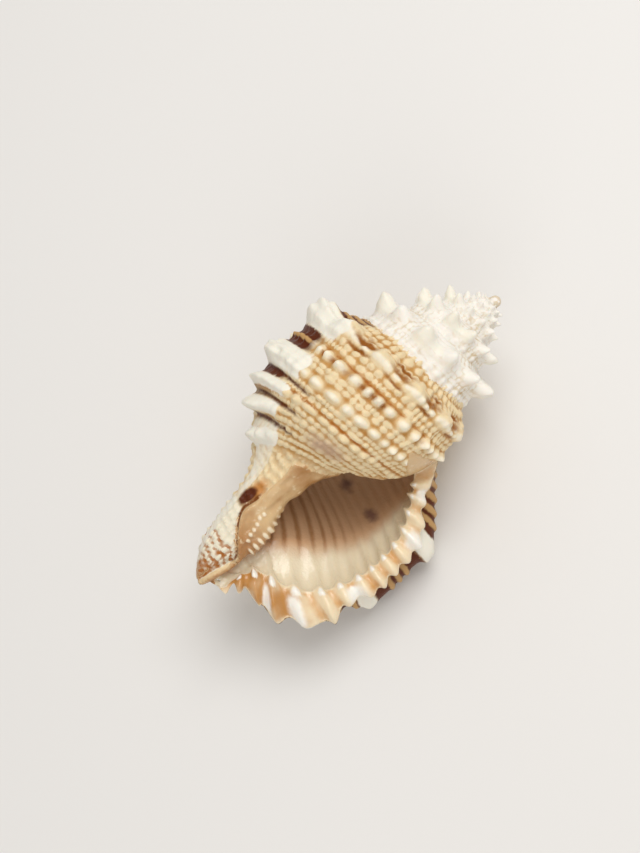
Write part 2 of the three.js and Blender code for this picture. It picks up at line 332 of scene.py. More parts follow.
# %% [markdown]
# ## The lip
# The finished lip is thick. Behind it runs the last varix, then the edge turns out into a
# scalloped frill, and a toothed margin turns in to the mouth. Each is a curve of its own, drawn
# by level, and the wall passes smoothly from one to the next. The lip doesn't follow the law of
# the spiral, because the animal widens it only once, so it is drawn and not computed.

# %% Curves of the lip
def edge(points):
    """A curve in the plane of the mouth: at each level, how far out and how deep."""
    levels, out, deep = np.array(points, float).T
    across = through(list(zip(levels, out)))
    down = through(list(zip(levels, deep)))

    def curve(level):
        depth = down(level)
        return across(level) - canal_lean(depth), depth

    return curve


ridge_edge = edge([
    (28, 15.2, 27.5), (31, 18.8, 30.5), (34, 22.3, 33.3), (37, 26, 36.3), (40, 29.4, 39.3),
    (43, 31.3, 42.5), (47, 31.5, 47.5), (51, 31.9, 52), (54, 32.2, 55.5), (57, 30.8, 58.7),
    (60, 28.9, 61.7), (63, 27.3, 64.7), (66, 23.5, 68.2), (69, 19.5, 70.6), (72, 15.6, 72),
    (75, 12.4, 73.4), (80, 9.6, 75.8),
])
rim_edge = edge([
    (28, 16.4, 29.2), (31, 17.8, 31), (34, 19.4, 33.6), (37, 21.2, 36.6), (40, 24.3, 39.4),
    (43, 27.2, 42.6), (46, 27.9, 46.2), (50, 28.3, 50.6), (54, 28.8, 54.8), (57, 27.6, 58.4),
    (60, 27.0, 61.8), (63, 27.9, 65.4), (66, 24.2, 69.8), (69, 20.6, 73), (72, 16.4, 73.8),
    (75, 12.8, 74), (78, 10.5, 75.3), (80, 9.6, 76.8),
])
margin_edge = edge([
    (28, 14.6, 33), (31, 15.6, 34.6), (34, 17.2, 36), (37, 18.8, 37.6), (40, 20.8, 40.4),
    (43, 22.7, 43.2), (46, 23.8, 46.4), (50, 24.4, 50.6), (54, 24.3, 54.8), (57, 23.6, 58),
    (60, 22.4, 61.2), (63, 20.6, 64.2), (66, 17.4, 67.1), (69, 14, 68.4), (72, 11.3, 69.6),
    (75, 9.8, 71.6), (78, 9.1, 74.2), (80, 8.9, 76.3),
])
# How many folds of the lip lie above each level.
folds_above = through([
    (28, 0), (34, 1), (37, 2), (40, 3), (43, 4), (46, 5), (49, 6), (52, 7), (55, 8), (58.5, 9),
    (62, 10), (65.5, 11), (69.3, 12), (73, 13), (77, 14), (80, 15),
])
FOLD_WHITES = [(36, 1.9), (43.2, 2.6), (56.8, 2.4), (66.2, 1.5), (70.6, 1.0)]
print("the lip has", int(folds_above(80)), "folds")

# %% [markdown]
# Colour follows shape on a shell, so the function that gives the height of the wall also says
# what is there: a bead, a pit, a white knob, a brown gap, a rib. Each of these is a channel, a
# number that goes with every point from here on, 0 where there is none of it. Two more channels
# hold the turn and the level. The pigment could be looked for afterwards from the finished shape,
# but here it is known already.

# %% The outside
CHANNELS = [
    "relief", "pit", "spire", "white", "brown", "ribs", "lip", "inside", "callus", "turn", "level",
]


def unmarked(turn):
    """Every channel at nothing, for points that are then marked."""
    return {channel: 0.0 * turn for channel in CHANNELS}


def outer_wall(turn, level):
    """The outside of the shell with its sculpture, as radius and depth, and what is seen there."""
    size = WIDEN ** turn
    radius, depth = plain_wall(turn, level)
    nr, nd = outward(turn, level)
    old = varix(turn)
    ridge = rise(old + 1.1 * (drift(level * 0.7, turn * 40) - 0.5), 0.3, 1.5)
    near_lip = rise(turn, LIP_START, RIDGE_TURN)
    low = rise(level, 64, 71)
    bead, bead_top = beads(turn, level)
    knob, knob_top = knobs(turn, level)
    pit = pits(turn, level)
    whites = highest(level, WHITES) ** 2
    lip_whites = highest(level, LIP_WHITES) ** 2
    ribs = highest(level, TAN_RIBS)
    gap = highest(level + 9 * (turn + 0.56), GAPS)
    gap = gap * rise(turn, -0.71, -0.64) * rise(turn, -0.48, -0.53)
    drowned = (1 - 0.7 * ridge) * (1 - 0.75 * near_lip)
    height = bead * drowned + knob * (1 - 0.5 * near_lip) - 0.5 * pit - 0.8 * gap
    crumpled = 0.7 + 0.6 * drift(turn * 55, level * 0.7)
    height += old * rise(level, 27.5, 33) * (1 - low) * (0.24 + 0.8 * whites * crumpled + 0.24 * ribs)
    height += 0.05 * np.cos(2 * np.pi * 150 * turn)
    radius = radius + nr * height * size
    depth = depth + nd * height * size
    # Towards the lip the wall leaves the spiral for the last varix and then for the frilled edge.
    ridge_r, ridge_d = ridge_edge(level)
    swell = 1.5 * (lip_whites - 0.35) + 0.8 * (ribs - 0.4)
    rim_r, rim_d = rim_edge(level)
    frill = (1.1 + 0.6 * rise(level, 60, 68)) * (beat(folds_above(level)) - 0.5) * rise(level, 33, 38)
    to_rim = rise(turn, RIDGE_TURN, 0.0)
    hollow = 1.5 * hump(turn, -0.013, 0.008) * rise(level, 33, 38) * rise(level, 79, 74)
    stand = swell + (frill - swell) * to_rim - hollow
    lip_r = ridge_r + (rim_r - ridge_r) * to_rim + nr * stand
    lip_d = ridge_d + (rim_d - ridge_d) * to_rim + nd * stand
    old_brown = rise(old, 1.0, 2.4) * rise(turn, -0.7, -0.6) * (1 - rise(whites, 0.15, 0.45))
    old_brown = old_brown * (1 - 0.4 * rise(level, 52, 58)) * (1 - rise(level, 60, 64))
    new_brown = rise(near_lip, 0.35, 0.8) * (1 - rise(lip_whites, 0.15, 0.45)) * rise(level, 78, 73)
    seen = unmarked(turn)
    seen["relief"] = np.clip(np.maximum(bead_top, knob_top) * 1.25, 0, 1)
    seen["pit"] = pit * (1 - ridge) * (1 - near_lip)
    seen["spire"] = rise(turn, -1.25, -1.6)
    on_ridge = ridge * np.maximum(whites, 0.3 * rise(level, 62, 64))
    seen["white"] = np.maximum(on_ridge, near_lip * lip_whites)
    seen["brown"] = np.maximum(np.maximum(old_brown, new_brown), 0.75 * gap)
    seen["ribs"] = ribs
    return radius + (lip_r - radius) * near_lip, depth + (lip_d - depth) * near_lip, seen


lip_radius = outer_wall(np.array([0.0]), np.array([54.0]))[0]
print("the edge of the lip is", round(float(lip_radius[0]), 1), "mm out from the axis")

# %% [markdown]
# The inside is smooth, one wall in from the outside, with low threads that run round it and end
# in teeth at the margin. The front of the lip joins the two: plump folds run across it from the
# frill to the teeth. A Solidify modifier could give the wall its thickness, but it would copy the
# beads to the inside, where the animal had glazed them over.

# %% The inside and the face of the lip
THREAD = 2.1
THREAD_HEIGHT = 0.16


def inner_wall(turn, level):
    """The inside of the last whorl, one wall in from the outside, opening out to the margin."""
    radius, depth = plain_wall(turn, level)
    nr, nd = outward(turn, level)
    wall = WALL * WIDEN ** turn
    opening = rise(turn, -0.085, 0.0) ** 1.4
    margin_r, margin_d = margin_edge(level)
    fold = beat(folds_above(level))
    tooth = 0.9 * fold ** 2 * hump(turn, -0.006, 0.016) + 0.75 * fold ** 1.5 * hump(turn, -0.028, 0.026)
    tooth = tooth * rise(level, 31, 36) * rise(level, 79, 75)
    thread = beat(level / THREAD + 0.5 * drift(turn * 5, level * 0.2)) * rise(turn, -0.02, -0.07)
    radius = radius - nr * wall
    depth = depth - nd * wall
    radius = radius + (margin_r - radius) * opening - nr * (tooth + THREAD_HEIGHT * thread)
    depth = depth + (margin_d - depth) * opening - nd * (tooth + THREAD_HEIGHT * thread)
    seen = unmarked(turn)
    seen["relief"] = fold
    seen["ribs"] = thread
    seen["white"] = 0.8 * rise(fold, 0.6, 0.9) * rise(turn, -0.02, -0.004)
    seen["inside"] = seen["inside"] + 1
    return np.maximum(radius, 0.3), depth, seen


def lip_face(across, level):
    """The front of the lip, from the frilled rim at 0 to the toothed margin at 1."""
    rim_r, rim_d, _ = outer_wall(np.zeros_like(level), level)
    margin_r, margin_d, _ = inner_wall(np.zeros_like(level), level)
    fold = beat(folds_above(level))
    crest = np.sin(np.pi * across ** 0.8)
    tooth = hump(across, 0.86, 0.13) * fold ** 2
    plump = 0.6 + 0.8 * drift(level * 0.4, 90)
    forward = 1.3 * crest * (0.6 + 0.7 * fold * plump) + 0.75 * tooth
    forward = forward + 0.9 * (fold - 0.5) * (1 - across)
    seen = unmarked(across)
    seen["relief"] = fold
    on_folds = highest(level, FOLD_WHITES) ** 2 * rise(across, 0.98, 0.5)
    seen["white"] = np.maximum(on_folds, 0.9 * rise(tooth, 0.3, 0.7))
    seen["lip"] = rise(across, -0.2, 0.15)
    seen["inside"] = rise(across, 0.85, 1.1)
    radius = rim_r + (margin_r - rim_r) * across
    depth = rim_d + (margin_d - rim_d) * across
    return radius, depth, forward * rise(level, 27.5, 32) * rise(level, 81, 76), seen


print("the threads inside are", THREAD, "mm apart")

# %% [markdown]
# ## Callus
# Where the animal's body slid over the shell it laid down a glaze, called callus, over the
# beads: a pad under the top of the mouth and a leaf down the pillar to the canal. It could be a
# second thin mesh, but on the shell the two are one, so the beads drown and a smooth pad stands
# out of the same wall. Its free edge is a curve on the front of the shell.

# %% Edge of the callus
callus_edge = through([
    (29, 17.5), (31, 14.8), (33, 11.2), (34.5, 12.6), (36.5, 14.2), (38.5, 13.6), (41, 10.6),
    (43, 8.7), (46, 5.8), (48.5, 3.2), (50, 0.2), (54, -0.2), (58, 0), (61, 0.2), (64.5, 0.2),
    (67, 2), (69, 4.2), (71, 6.2), (73, 6.1), (76, 5.5), (80, 5.0),
])


def on_callus(point):
    """How far on to the callus a point on the front of the shell is, in millimetres."""
    return point[..., 0] - callus_edge(-point[..., 2])


def skin(turns, levels, pad):
    """The outside between some turns, with the callus laid over it, and what is seen there."""
    turn, level = np.meshgrid(turns, levels, indexing="ij")
    radius, depth, seen = outer_wall(turn, level)
    points = place(turn, radius, depth)
    on = rise(on_callus(points), -0.25, 0.35) * rise(turn, -0.62, -0.75) * rise(turn, -1.35, -1.2)
    plain_r, plain_d = plain_wall(turn, level)
    nr, nd = outward(turn, level)
    thick = pad * WIDEN ** turn
    smooth = place(turn, plain_r + nr * thick, plain_d + nd * thick)
    for channel in ("relief", "pit", "brown", "white"):
        seen[channel] = seen[channel] * (1 - on)
    seen.update(callus=on, turn=turn, level=level)
    return points + (smooth - points) * on[..., None], seen


print("at the spot the callus ends", round(float(callus_edge(58.0)), 1), "mm from the axis")

# %% [markdown]
# ## From curves to meshes
# A grid is a good start for anything swept: it is added once with as many rows and columns as
# the sweep has, rolled up by moving its points, and closed by merging the points that meet.
# Every point also remembers what it is: bead, pit, lip, callus. The colours follow from that.

# %% Rolling up a grid
source_points = []
source_seen = []


def rolled(name, points, seen):
    """A closed piece from points laid out as columns by rows, the last row meeting the first."""
    columns, rows = points.shape[:2]
    bpy.ops.object.select_all(action="DESELECT")
    bpy.ops.mesh.primitive_grid_add(x_subdivisions=columns - 1, y_subdivisions=rows - 1, size=1)
    piece = bpy.context.object
    piece.name = name
    flat = points.transpose(1, 0, 2).reshape(-1, 3) * MM
    piece.data.vertices.foreach_set("co", flat.ravel())
    piece.data.update()
    source_points.append(flat)
    source_seen.append(np.stack([seen[channel].T.ravel() for channel in CHANNELS], -1))
    bpy.ops.object.mode_set(mode="EDIT")
    bpy.ops.mesh.select_all(action="SELECT")
    bpy.ops.mesh.remove_doubles(threshold=1e-7)
    bpy.ops.mesh.normals_make_consistent(inside=False)
    bpy.ops.object.mode_set(mode="OBJECT")
    print(name, "has", len(piece.data.polygons), "faces")
    return piece


print("every point carries", len(CHANNELS), "channels")

# %% [markdown]
# The last whorl is the only hollow one. Its outline goes down the outside and back up the inside,
# and the sweep runs from a little over a turn back up to the lip. There the outside goes on over
# the face of the lip, and meets the inside at the margin.

# %% The wall of the last whorl
LAST_START = -1.12
LAST_PAD = 0.8
LAST_COLUMNS = 470
LAST_ROWS = 230
FACE_COLUMNS = 25


def last_whorl():
    """The outside, the face of the lip and the inside, joined round into one thin wall."""
    turns = np.linspace(LAST_START, 0, LAST_COLUMNS)
    levels = np.linspace(TOP_LEVEL, LENGTH, LAST_ROWS)
    outer, outer_seen = skin(turns, levels, LAST_PAD)
    steps = np.linspace(0, 1, FACE_COLUMNS + 1)[1:]
    across, face_level = np.meshgrid(steps, levels, indexing="ij")
    radius, depth, forward, face_seen = lip_face(across, face_level)
    face = place(0 * across, radius, depth, forward)
    face_seen["level"] = face_level
    columns = len(outer) + len(face)
    turn, level = np.meshgrid(np.linspace(LAST_START, 0, columns), levels, indexing="ij")
    radius, depth, inner_seen = inner_wall(turn, level)
    inner = place(turn, radius, depth)
    inner[-1] = face[-1]
    inner_seen.update(turn=turn, level=level)
    outside = np.concatenate([outer, face])
    # The hidden start of the wall is closed by bringing its inside out to its outside.
    closing = np.concatenate([outside[:1], outside[:1, ::-1], outside[:1, :1]], axis=1)
    points = np.concatenate([closing, np.concatenate([outside, inner[:, ::-1], outside[:, :1]], axis=1)])
    merged = {}
    for channel in CHANNELS:
        out = np.concatenate([outer_seen[channel], face_seen[channel]])
        both = np.concatenate([out, inner_seen[channel][:, ::-1], out[:, :1]], axis=1)
        merged[channel] = np.concatenate([both[:1], both])
    return rolled("last_whorl", points, merged)


walls = [last_whorl()]

# %% [markdown]
# The older whorls are seen only from outside, so each outline is closed along the axis of the
# shell and they come out as one solid coil. It runs on a little under the start of the last
# whorl, so that no gap opens between them.

# %% The older whorls
OLDER_END = -0.985
OLDER_PAD = 0.6
OLDER_LOWEST = 67.5
OLDER_COLUMNS = 1150
OLDER_ROWS = 130
NEAR_AXIS = 0.05


def older_whorls():
    """A solid coil: each outline is closed along the axis of the shell."""
    turns = np.linspace(-WHORLS, OLDER_END, OLDER_COLUMNS)
    levels = np.linspace(TOP_LEVEL, OLDER_LOWEST, OLDER_ROWS)
    outer, seen = skin(turns, levels, OLDER_PAD)
    foot = place(turns, NEAR_AXIS, plain_wall(turns, levels[-1] + 0 * turns)[1])
    head = place(turns, NEAR_AXIS, plain_wall(turns, levels[0] + 0 * turns)[1])
    points = np.concatenate([outer, foot[:, None], head[:, None], outer[:, :1]], axis=1)
    start, end = [np.broadcast_to(ring.mean(axis=0), (1, *ring.shape)) for ring in points[[0, -1]]]
    points = np.concatenate([start, points, end])
    merged = {}
    for channel, values in seen.items():
        row = np.concatenate([values] + [values[:, :1]] * 3, axis=1)
        merged[channel] = np.concatenate([row[:1], row, row[-1:]])
    return rolled("older_whorls", points, merged)


walls.append(older_whorls())

# %% [markdown]
# The whorls coil round a pillar, which comes into view in the mouth and down the neck. It is a
# spindle, round in every slice but for its swelling in the mouth, and it gives way on the side
# where the canal runs. A cylinder would need the same profile, so this is rolled up as well.

# %% The pillar
PILLAR_TOP = 44.0
PILLAR_START = 2.0
PILLAR_COLUMNS = 97
PILLAR_ROWS = 300


def pillar():
    """The spindle that the whorls coil round, closed to a point at both ends."""
    turns = np.linspace(-1, 0, PILLAR_COLUMNS)
    depths = np.linspace(PILLAR_START, LENGTH - 0.1, PILLAR_ROWS)
    turn, depth = np.meshgrid(turns, depths, indexing="ij")
    spindle = 3.2 * np.minimum((depth / 28) ** 0.83, 1)
    body = neck_radius(depth) + pillar_swell(depth) * swollen(turn) - 0.3
    radius = np.where(depth < PILLAR_TOP, spindle, np.minimum(body, spindle + rise(depth, 42, 49) * 9))
    canal_side = rise(np.cos(2 * np.pi * turn), 0.2, 0.9) * rise(depth, 69, 76)
    points = place(turn, np.maximum(radius - 2.2 * canal_side, 0.25), depth)
    tips = [np.broadcast_to(place(0.0, 0.0, d), (len(turns), 1, 3)) for d in (depths[0], depths[-1])]
    points = np.concatenate([tips[0], points, tips[1]], axis=1).transpose(1, 0, 2)
    seen = unmarked(points[..., 0])
    seen["callus"] = rise(-points[..., 2], PILLAR_TOP, PILLAR_TOP + 2)
    seen["spire"] = 1 - seen["callus"]
    seen["relief"] = seen["spire"]
    seen["turn"] = seen["turn"] - 1
    seen["level"] = -points[..., 2]
    return rolled("pillar", points, seen)


walls.append(pillar())

# %% [markdown]
# The first whorl of a shell is a smooth bulb, and on an old shell it is worn blunt. A small ball
# over the start of the coil is enough for it.

# %% The blunt tip of the spire
APEX_RADIUS = 1.2
APEX_DEPTH = 1.4
bpy.ops.object.select_all(action="DESELECT")
bpy.ops.mesh.primitive_uv_sphere_add(
    segments=32, ring_count=16, radius=APEX_RADIUS * MM, location=(0, 0, -APEX_DEPTH * MM)
)
apex = bpy.context.object
apex.name = "apex"
bpy.ops.object.transform_apply(location=True, rotation=False, scale=False)
print("the tip is", len(apex.data.polygons), "faces")

# %% [markdown]
# ## One solid shell
# The walls overlap, as coils of clay would. They could be joined by Booleans, but thousands of
# faces cross there, so a voxel remesh fuses them into one closed skin with even faces instead.

# %% Fusing
VOXEL = 0.27
bpy.ops.object.select_all(action="DESELECT")
for piece in walls + [apex]:
    piece.select_set(True)
bpy.context.view_layer.objects.active = walls[0]
bpy.ops.object.join()
shell = bpy.context.object
shell.name = "shell"
shell.data.remesh_voxel_size = VOXEL * MM
shell.data.remesh_voxel_adaptivity = 0
bpy.ops.object.voxel_remesh()
print("fused into", len(shell.data.polygons), "faces")

# %% [markdown]
# The remesh leaves steps as high as a voxel, so one pass of Smooth follows. Three helpers come
# with it: one reads the places or the normals of all points, one applies a modifier at once, so
# that the next step works on real faces, and one counts triangles.

# %% Smoothing the steps
def points_of(piece, what="co"):
    """The places of a piece's points, or their normals."""
    flat = np.empty(3 * len(piece.data.vertices))
    piece.data.vertices.foreach_get(what, flat)
    return flat.reshape(-1, 3)


def modify(piece, kind, **settings):
    """Adds a modifier and applies it."""
    modifier = piece.modifiers.new(kind.lower(), kind)
    for key, value in settings.items():
        setattr(modifier, key, value)
    bpy.ops.object.modifier_apply(modifier=modifier.name)


def triangles_of(piece):
    return sum(len(face.vertices) - 2 for face in piece.data.polygons)


modify(shell, "SMOOTH", factor=0.5, iterations=1)
print("smoothed", len(shell.data.vertices), "points")

# %% [markdown]
# The callus has relief of its own, laid down after the beads: a thin raised edge where the glaze
# ends, two rows of small pearls down the mouth's side of the pillar, and slow ripples over it all.
# These belong to one place on this shell and to no turn, so they are raised straight out of the
# fused skin, by where a point is on the front.

# %% Relief of the callus
# Where each pearl is across and down the front, its half width and its half height.
PEARLS = []
for s in np.linspace(0, 1, 8):
    PEARLS.append((5.7 + 1.3 * s, 58.5 + 9.7 * s, 0.9, 0.3 + 0.25 * drift(13 * s, 3)))
for s in np.linspace(0, 1, 6):
    PEARLS.append((2.2 + 1.9 * s + drift(17 * s, 5), 61.6 + 5.6 * s, 0.5, 0.4))
grown_at = points_of(shell) / MM
facing = points_of(shell, "normal")
depth = -grown_at[:, 2]
past = on_callus(grown_at)
front = rise(facing[:, 1], 0.5, 0.0) * rise(grown_at[:, 1], 3.0, 0.0)
column = front * rise(depth, 47, 51) * rise(grown_at[:, 0], 9.5, 8.5)
raised = 0.5 * hump(past, 0.5, 0.45) * (0.5 + 0.5 * rise(depth, 60, 66)) - 0.3 * hump(past, -0.7, 0.5)
raised += 0.8 * (drift(grown_at[:, 0] * 0.9, depth * 0.35) - 0.5) * rise(past, 0.5, 1.5)
raised -= 0.35 * hump(past, 3.0, 0.8) * rise(depth, 56, 60)
pearl_top = np.zeros(len(grown_at))
for x, down, wide, tall in PEARLS:
    pearl_top = np.maximum(pearl_top, hump(grown_at[:, 0], x, wide) * hump(depth, down, tall))
raised += 0.6 * pearl_top
grown_at += facing * (raised * column)[:, None]
shell.data.vertices.foreach_set("co", (grown_at * MM).ravel())
shell.data.update()
print("raised", int((np.abs(raised * column) > 0.05).sum()), "points of the callus")

# %% [markdown]
# The voxels gave every part the same fine mesh. Decimate merges the faces that bend least until
# the count is met, so the beads keep their faces and the smooth inside gives them up.

# %% Thinning
MOST_TRIANGLES = 196000
modify(shell, "DECIMATE", ratio=min(1.0, MOST_TRIANGLES / triangles_of(shell)))
print("thinned to", triangles_of(shell), "triangles")

# %% [markdown]
# ## What each point is
# The remesh made new points, so each looks up the nearest points of the sweep to learn what it
# is. Outside, where a point lies on the spiral follows exactly from its own place, which keeps
# lines crisp.

# %% Marks from the sweep
tree_points = np.concatenate(source_points)
tree_seen = np.concatenate(source_seen)
finder = kdtree.KDTree(len(tree_points))
for i, point in enumerate(tree_points):
    finder.insert(point, i)
finder.balance()
here = points_of(shell)
NEAREST = 3
looked_up = []
for point in here:
    nearest = [i for _, i, _ in finder.find_n(point, NEAREST)]
    looked_up.append(tree_seen[nearest].mean(axis=0))
seen = dict(zip(CHANNELS, np.array(looked_up).T))
grown_at = here / MM
depth = -grown_at[:, 2]
part_turn = np.arctan2(-grown_at[:, 1], grown_at[:, 0] - canal_lean(depth)) / (2 * np.pi)
exact_turn = part_turn + np.round(seen["turn"] - part_turn)
on_spiral = (seen["turn"] < LIP_START) & (seen["level"] < NECK_LEVEL - 1)
turn = np.where(seen["turn"] < -0.02, exact_turn, seen["turn"])
level = np.where(on_spiral & (seen["inside"] < 0.5), depth / DESCEND ** exact_turn, seen["level"])
print("looked up", len(here), "points")

# %% [markdown]
# ## Where the colours go
# The animal puts pigment where it lays the wall: tan in the valleys between the beads, orange in
# the pits, dark brown between the knobs of each old lip, orange on the folds of the lip, and none
# on the knobs. Each mark below is a number from 0 to 1 for one such colour. Two of them hold painted
# shade: the spire darker in its valleys, beside its orange spots, and the callus darker towards its
# foot. They could be painted by hand, but drawn from the growth they follow every bead.

# %% Marks for the colours
valley = 1 - seen["relief"]
body = 1 - seen["spire"]
inside = seen["inside"]
deep_in = inside * rise(turn, -0.02, -0.08)
past = on_callus(grown_at)
leaf = rise(depth, 62.5, 65.5) * rise(past, 0.0, -0.4) * (seen["turn"] < -0.4) * (1 - inside)
on_front = grown_at[:, 1] < 0
pearl_shown = np.zeros(len(here))
for x, down, wide, tall in PEARLS:
    pearl_shown = np.maximum(pearl_shown, hump(grown_at[:, 0], x, wide) * hump(depth, down, tall))
spot = hump(grown_at[:, 0], -1.7, 1.2) * hump(depth, 61.8, 2.3)
brown = np.maximum(seen["brown"], 1.3 * spot * on_front)
spot_ring = hump(grown_at[:, 0], -1.4, 1.9) * hump(depth, 60.3, 4.0)
nodules = hump(level, 44.2, 1.7) + hump(level, 50.9, 1.3) + hump(level, SHOULDER, 1.6)
blotches = hump(grown_at[:, 0], 9.5, 2.2) + hump(grown_at[:, 0], 17.2, 2.0)
rows_apart = hump(level, 42.5, 0.5) + hump(level, 56.0, 0.6)
marks = {
    "bead": np.maximum(seen["relief"], 0.4 * rise(level, 66, 69)),
    "stain": valley * body * (0.4 + 0.6 * rise(level, 69, 66)),
    "edge_line": hump(past, -0.4, 0.4) * rise(depth, 58, 61) * rise(depth, 75, 70) * (1 - inside),
    "spot_ring": spot_ring * on_front * (1 - inside),
    "row_line": rows_apart * valley * body,
    "rubbed": hump(level, 62, 3.4) * hump(turn, -0.76, 0.07) * body,
    "nodule": seen["relief"] * nodules * body,
    "spire": seen["spire"],
    # painted shade in the valleys of the spire, and the spire's real orange-brown spots
    "spire_spots_and_valley_shade": seen["spire"] * valley,
    "leaf": leaf,
    "leaf_stain": leaf * valley * rise(depth, 67, 72),
    "white": seen["white"] * (1 - seen["lip"]),
    "pit": seen["pit"],
    "brown": brown,
    "tan_rib": seen["ribs"] * brown,
    "callus": seen["callus"],
    "pearl": pearl_shown * seen["callus"] * on_front,
    # painted shade: the callus darker towards its foot
    "callus_foot_shade": seen["callus"] * rise(depth, 56, 66),
    "lip": seen["lip"],
    "lip_valley": seen["lip"] * (0.35 + 0.65 * valley),
    "lip_white": seen["lip"] * seen["white"],
    "margin": inside,
    "inside": deep_in,
    "stripe": deep_in * (1 - seen["ribs"]) * (0.4 + 0.6 * rise(depth, 46, 58)),
    "blotch": deep_in * hump(depth, 46.2, 1.7) * blotches,
    "lip_low": seen["lip"] * rise(depth, 58, 70),
    "gloss": np.max([seen["lip"], inside, seen["callus"]], axis=0),
}
for name, values in marks.items():
    layer = shell.data.attributes.new(name, "FLOAT", "POINT")
    layer.data.foreach_set("value", np.ascontiguousarray(np.clip(values, 0, 1.3), dtype=np.float32))
print("drew", len(marks), "marks")

# %% [markdown]
# ## Laying it down
# The shell was grown upright. It is laid mouth up with the apex towards +X, rolled over to the
# side of the lip as the solid one is, and sunk a little. The knobs that it rests on are then
# pressed level with the ground, because they are worn flat.

# %% Laying it down
REST_ROLL = math.radians(24.2)
REST_PITCH = math.radians(3.8)
WORN = 0.5
lay_down = (
    Matrix.Rotation(REST_PITCH, 4, "Y")
    @ Matrix(((0, 0, 1, 0), (-1, 0, 0, 0), (0, -1, 0, 0), (0, 0, 0, 1)))
    @ Matrix.Rotation(REST_ROLL, 4, "Z")
)
shell.data.transform(lay_down)
lying = points_of(shell)
centre = (np.array(node_low) + np.array(node_high)) / 2
shift = centre - (lying.min(0) + lying.max(0)) / 2
shift[2] = node_low[2] - lying[:, 2].min() - WORN * MM
lying += shift
lying[:, 2] = np.maximum(lying[:, 2], node_low[2])
shell.data.vertices.foreach_set("co", lying.ravel())
shell.data.update()
bpy.ops.object.select_all(action="DESELECT")
shell.select_set(True)
bpy.ops.object.shade_smooth()
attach(shell, "root")
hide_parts(NODE)
print("the shell measures", [round(v * 1000, 1) for v in lying.max(0) - lying.min(0)], "mm")

# %% [markdown]
# ## Aragonite
# The shell is aragonite, a hard form of the mineral of chalk, laid down in layers with a thin
# glaze inside the mouth and on the callus. One material does for all of it, because it is all one
# wall. Each colour is laid over the last one by its mark, and a little noise at the size of a
# bead or a stain breaks up the edge of the mark, as real pigment does.

# %% Colours
def linear(code):
    """A colour written as sRGB hex, as the linear values that Blender works with."""
    channels = [int(code[i:i + 2], 16) / 255 for i in (0, 2, 4)]
    return [*(c / 12.92 if c <= 0.04045 else ((c + 0.055) / 1.055) ** 2.4 for c in channels), 1.0]


# The tan of the valleys lies under all the others.
VALLEY_TAN = "c19050"
# mark, colour, where the colour starts and is full on the mark, noise that breaks it up, how much
LAYERS = [
    ("bead", "e9d4ab", 0.05, 0.55, "bead", 0.4),
    ("nodule", "f3e8d0", 0.3, 0.85, "patch", 0.6),
    ("stain", "b5752f", 0.75, 1.3, "patch", 1.0),
    ("row_line", "a5601f", 0.35, 1.0, "patch", 0.9),
    ("spot_ring", "c08343", 0.25, 0.95, "bead", 0.7),
    ("rubbed", "c7a78a", 0.3, 1.1, "bead", 0.9),
    ("spire", "f0ebe1", 0.25, 0.75, "patch", 0.3),
    # painted shade: the spire darker in the valleys between its beads; the next layer is its real
    # orange-brown spots
    ("spire_spots_and_valley_shade", "d0ba94", 0.5, 1.2, "patch", 0.8),
    ("spire_spots_and_valley_shade", "b9803c", 1.05, 1.3, "patch", 1.4),
    ("leaf", "e8dfc8", 0.3, 0.8, "patch", 0.3),
    ("leaf_stain", "a9682e", 0.5, 1.05, "bead", 0.9),
    ("edge_line", "7a4416", 0.25, 0.85, "bead", 0.5),
    ("pit", "965a1c", 0.07, 0.8, "bead", 0.6),
    ("white", "f0ebdc", 0.12, 0.42, "bead", 0.3),
    ("brown", "5a260b", 0.3, 0.8, "bead", 0.4),
    ("tan_rib", "bd9560", 0.3, 0.75, "bead", 0.35),
    ("callus", "d6b586", 0.3, 0.7, "bead", 0.1),
    ("callus", "b27d43", 0.9, 1.25, "patch", 1.0),
    # painted shade: the callus darker towards its foot
    ("callus_foot_shade", "b07c48", 0.5, 1.2, "patch", 0.8),
    ("callus", "ead6b0", 1.1, 1.4, "bead", 1.3),
    ("pearl", "f0dfc0", 0.2, 0.7, "bead", 0.2),
    ("lip", "f0dcb8", 0.2, 0.7, "bead", 0.1),
    ("lip_valley", "d49c58", 0.5, 1.2, "patch", 1.3),
    ("lip_low", "bf8746", 0.65, 1.25, "patch", 1.3),
    ("lip_white", "f8f3e8", 0.2, 0.85, "patch", 0.5),
    ("margin", "eaddc0", 0.4, 0.95, "bead", 0.0),
    ("inside", "cfa883", 0.2, 0.95, "patch", 0.5),
    ("stripe", "a07249", 0.3, 1.2, "patch", 0.4),
    ("blotch", "8a6a5c", 0.3, 1.1, "bead", 0.8),
]
print("chose", 1 + len({code for _, code, *_ in LAYERS}), "colours")

# %% [markdown]
# In the material each mark becomes a mask, by an Attribute node, a little noise and a Map Range,
# and a Mix node lays the colour over what is there. A loop makes the same few nodes for every
# layer, in order, so the last in the list is on top.

# %% The aragonite material
# How far across, in millimetres, a patch, a bead and a grain of the noise are.
NOISE_SIZES = [("patch", 7.0), ("bead", 1.6), ("grain", 0.4)]


def add(tree, kind, inputs, **settings):
    """A node with its settings, its sockets filled with values or linked to other nodes' outputs."""
    node = tree.nodes.new(kind)
    for key, value in settings.items():
        setattr(node, key, value)
    for key, value in inputs.items():
        if isinstance(value, bpy.types.NodeSocket):
            tree.links.new(value, node.inputs[key])
        else:
            node.inputs[key].default_value = value
    return node


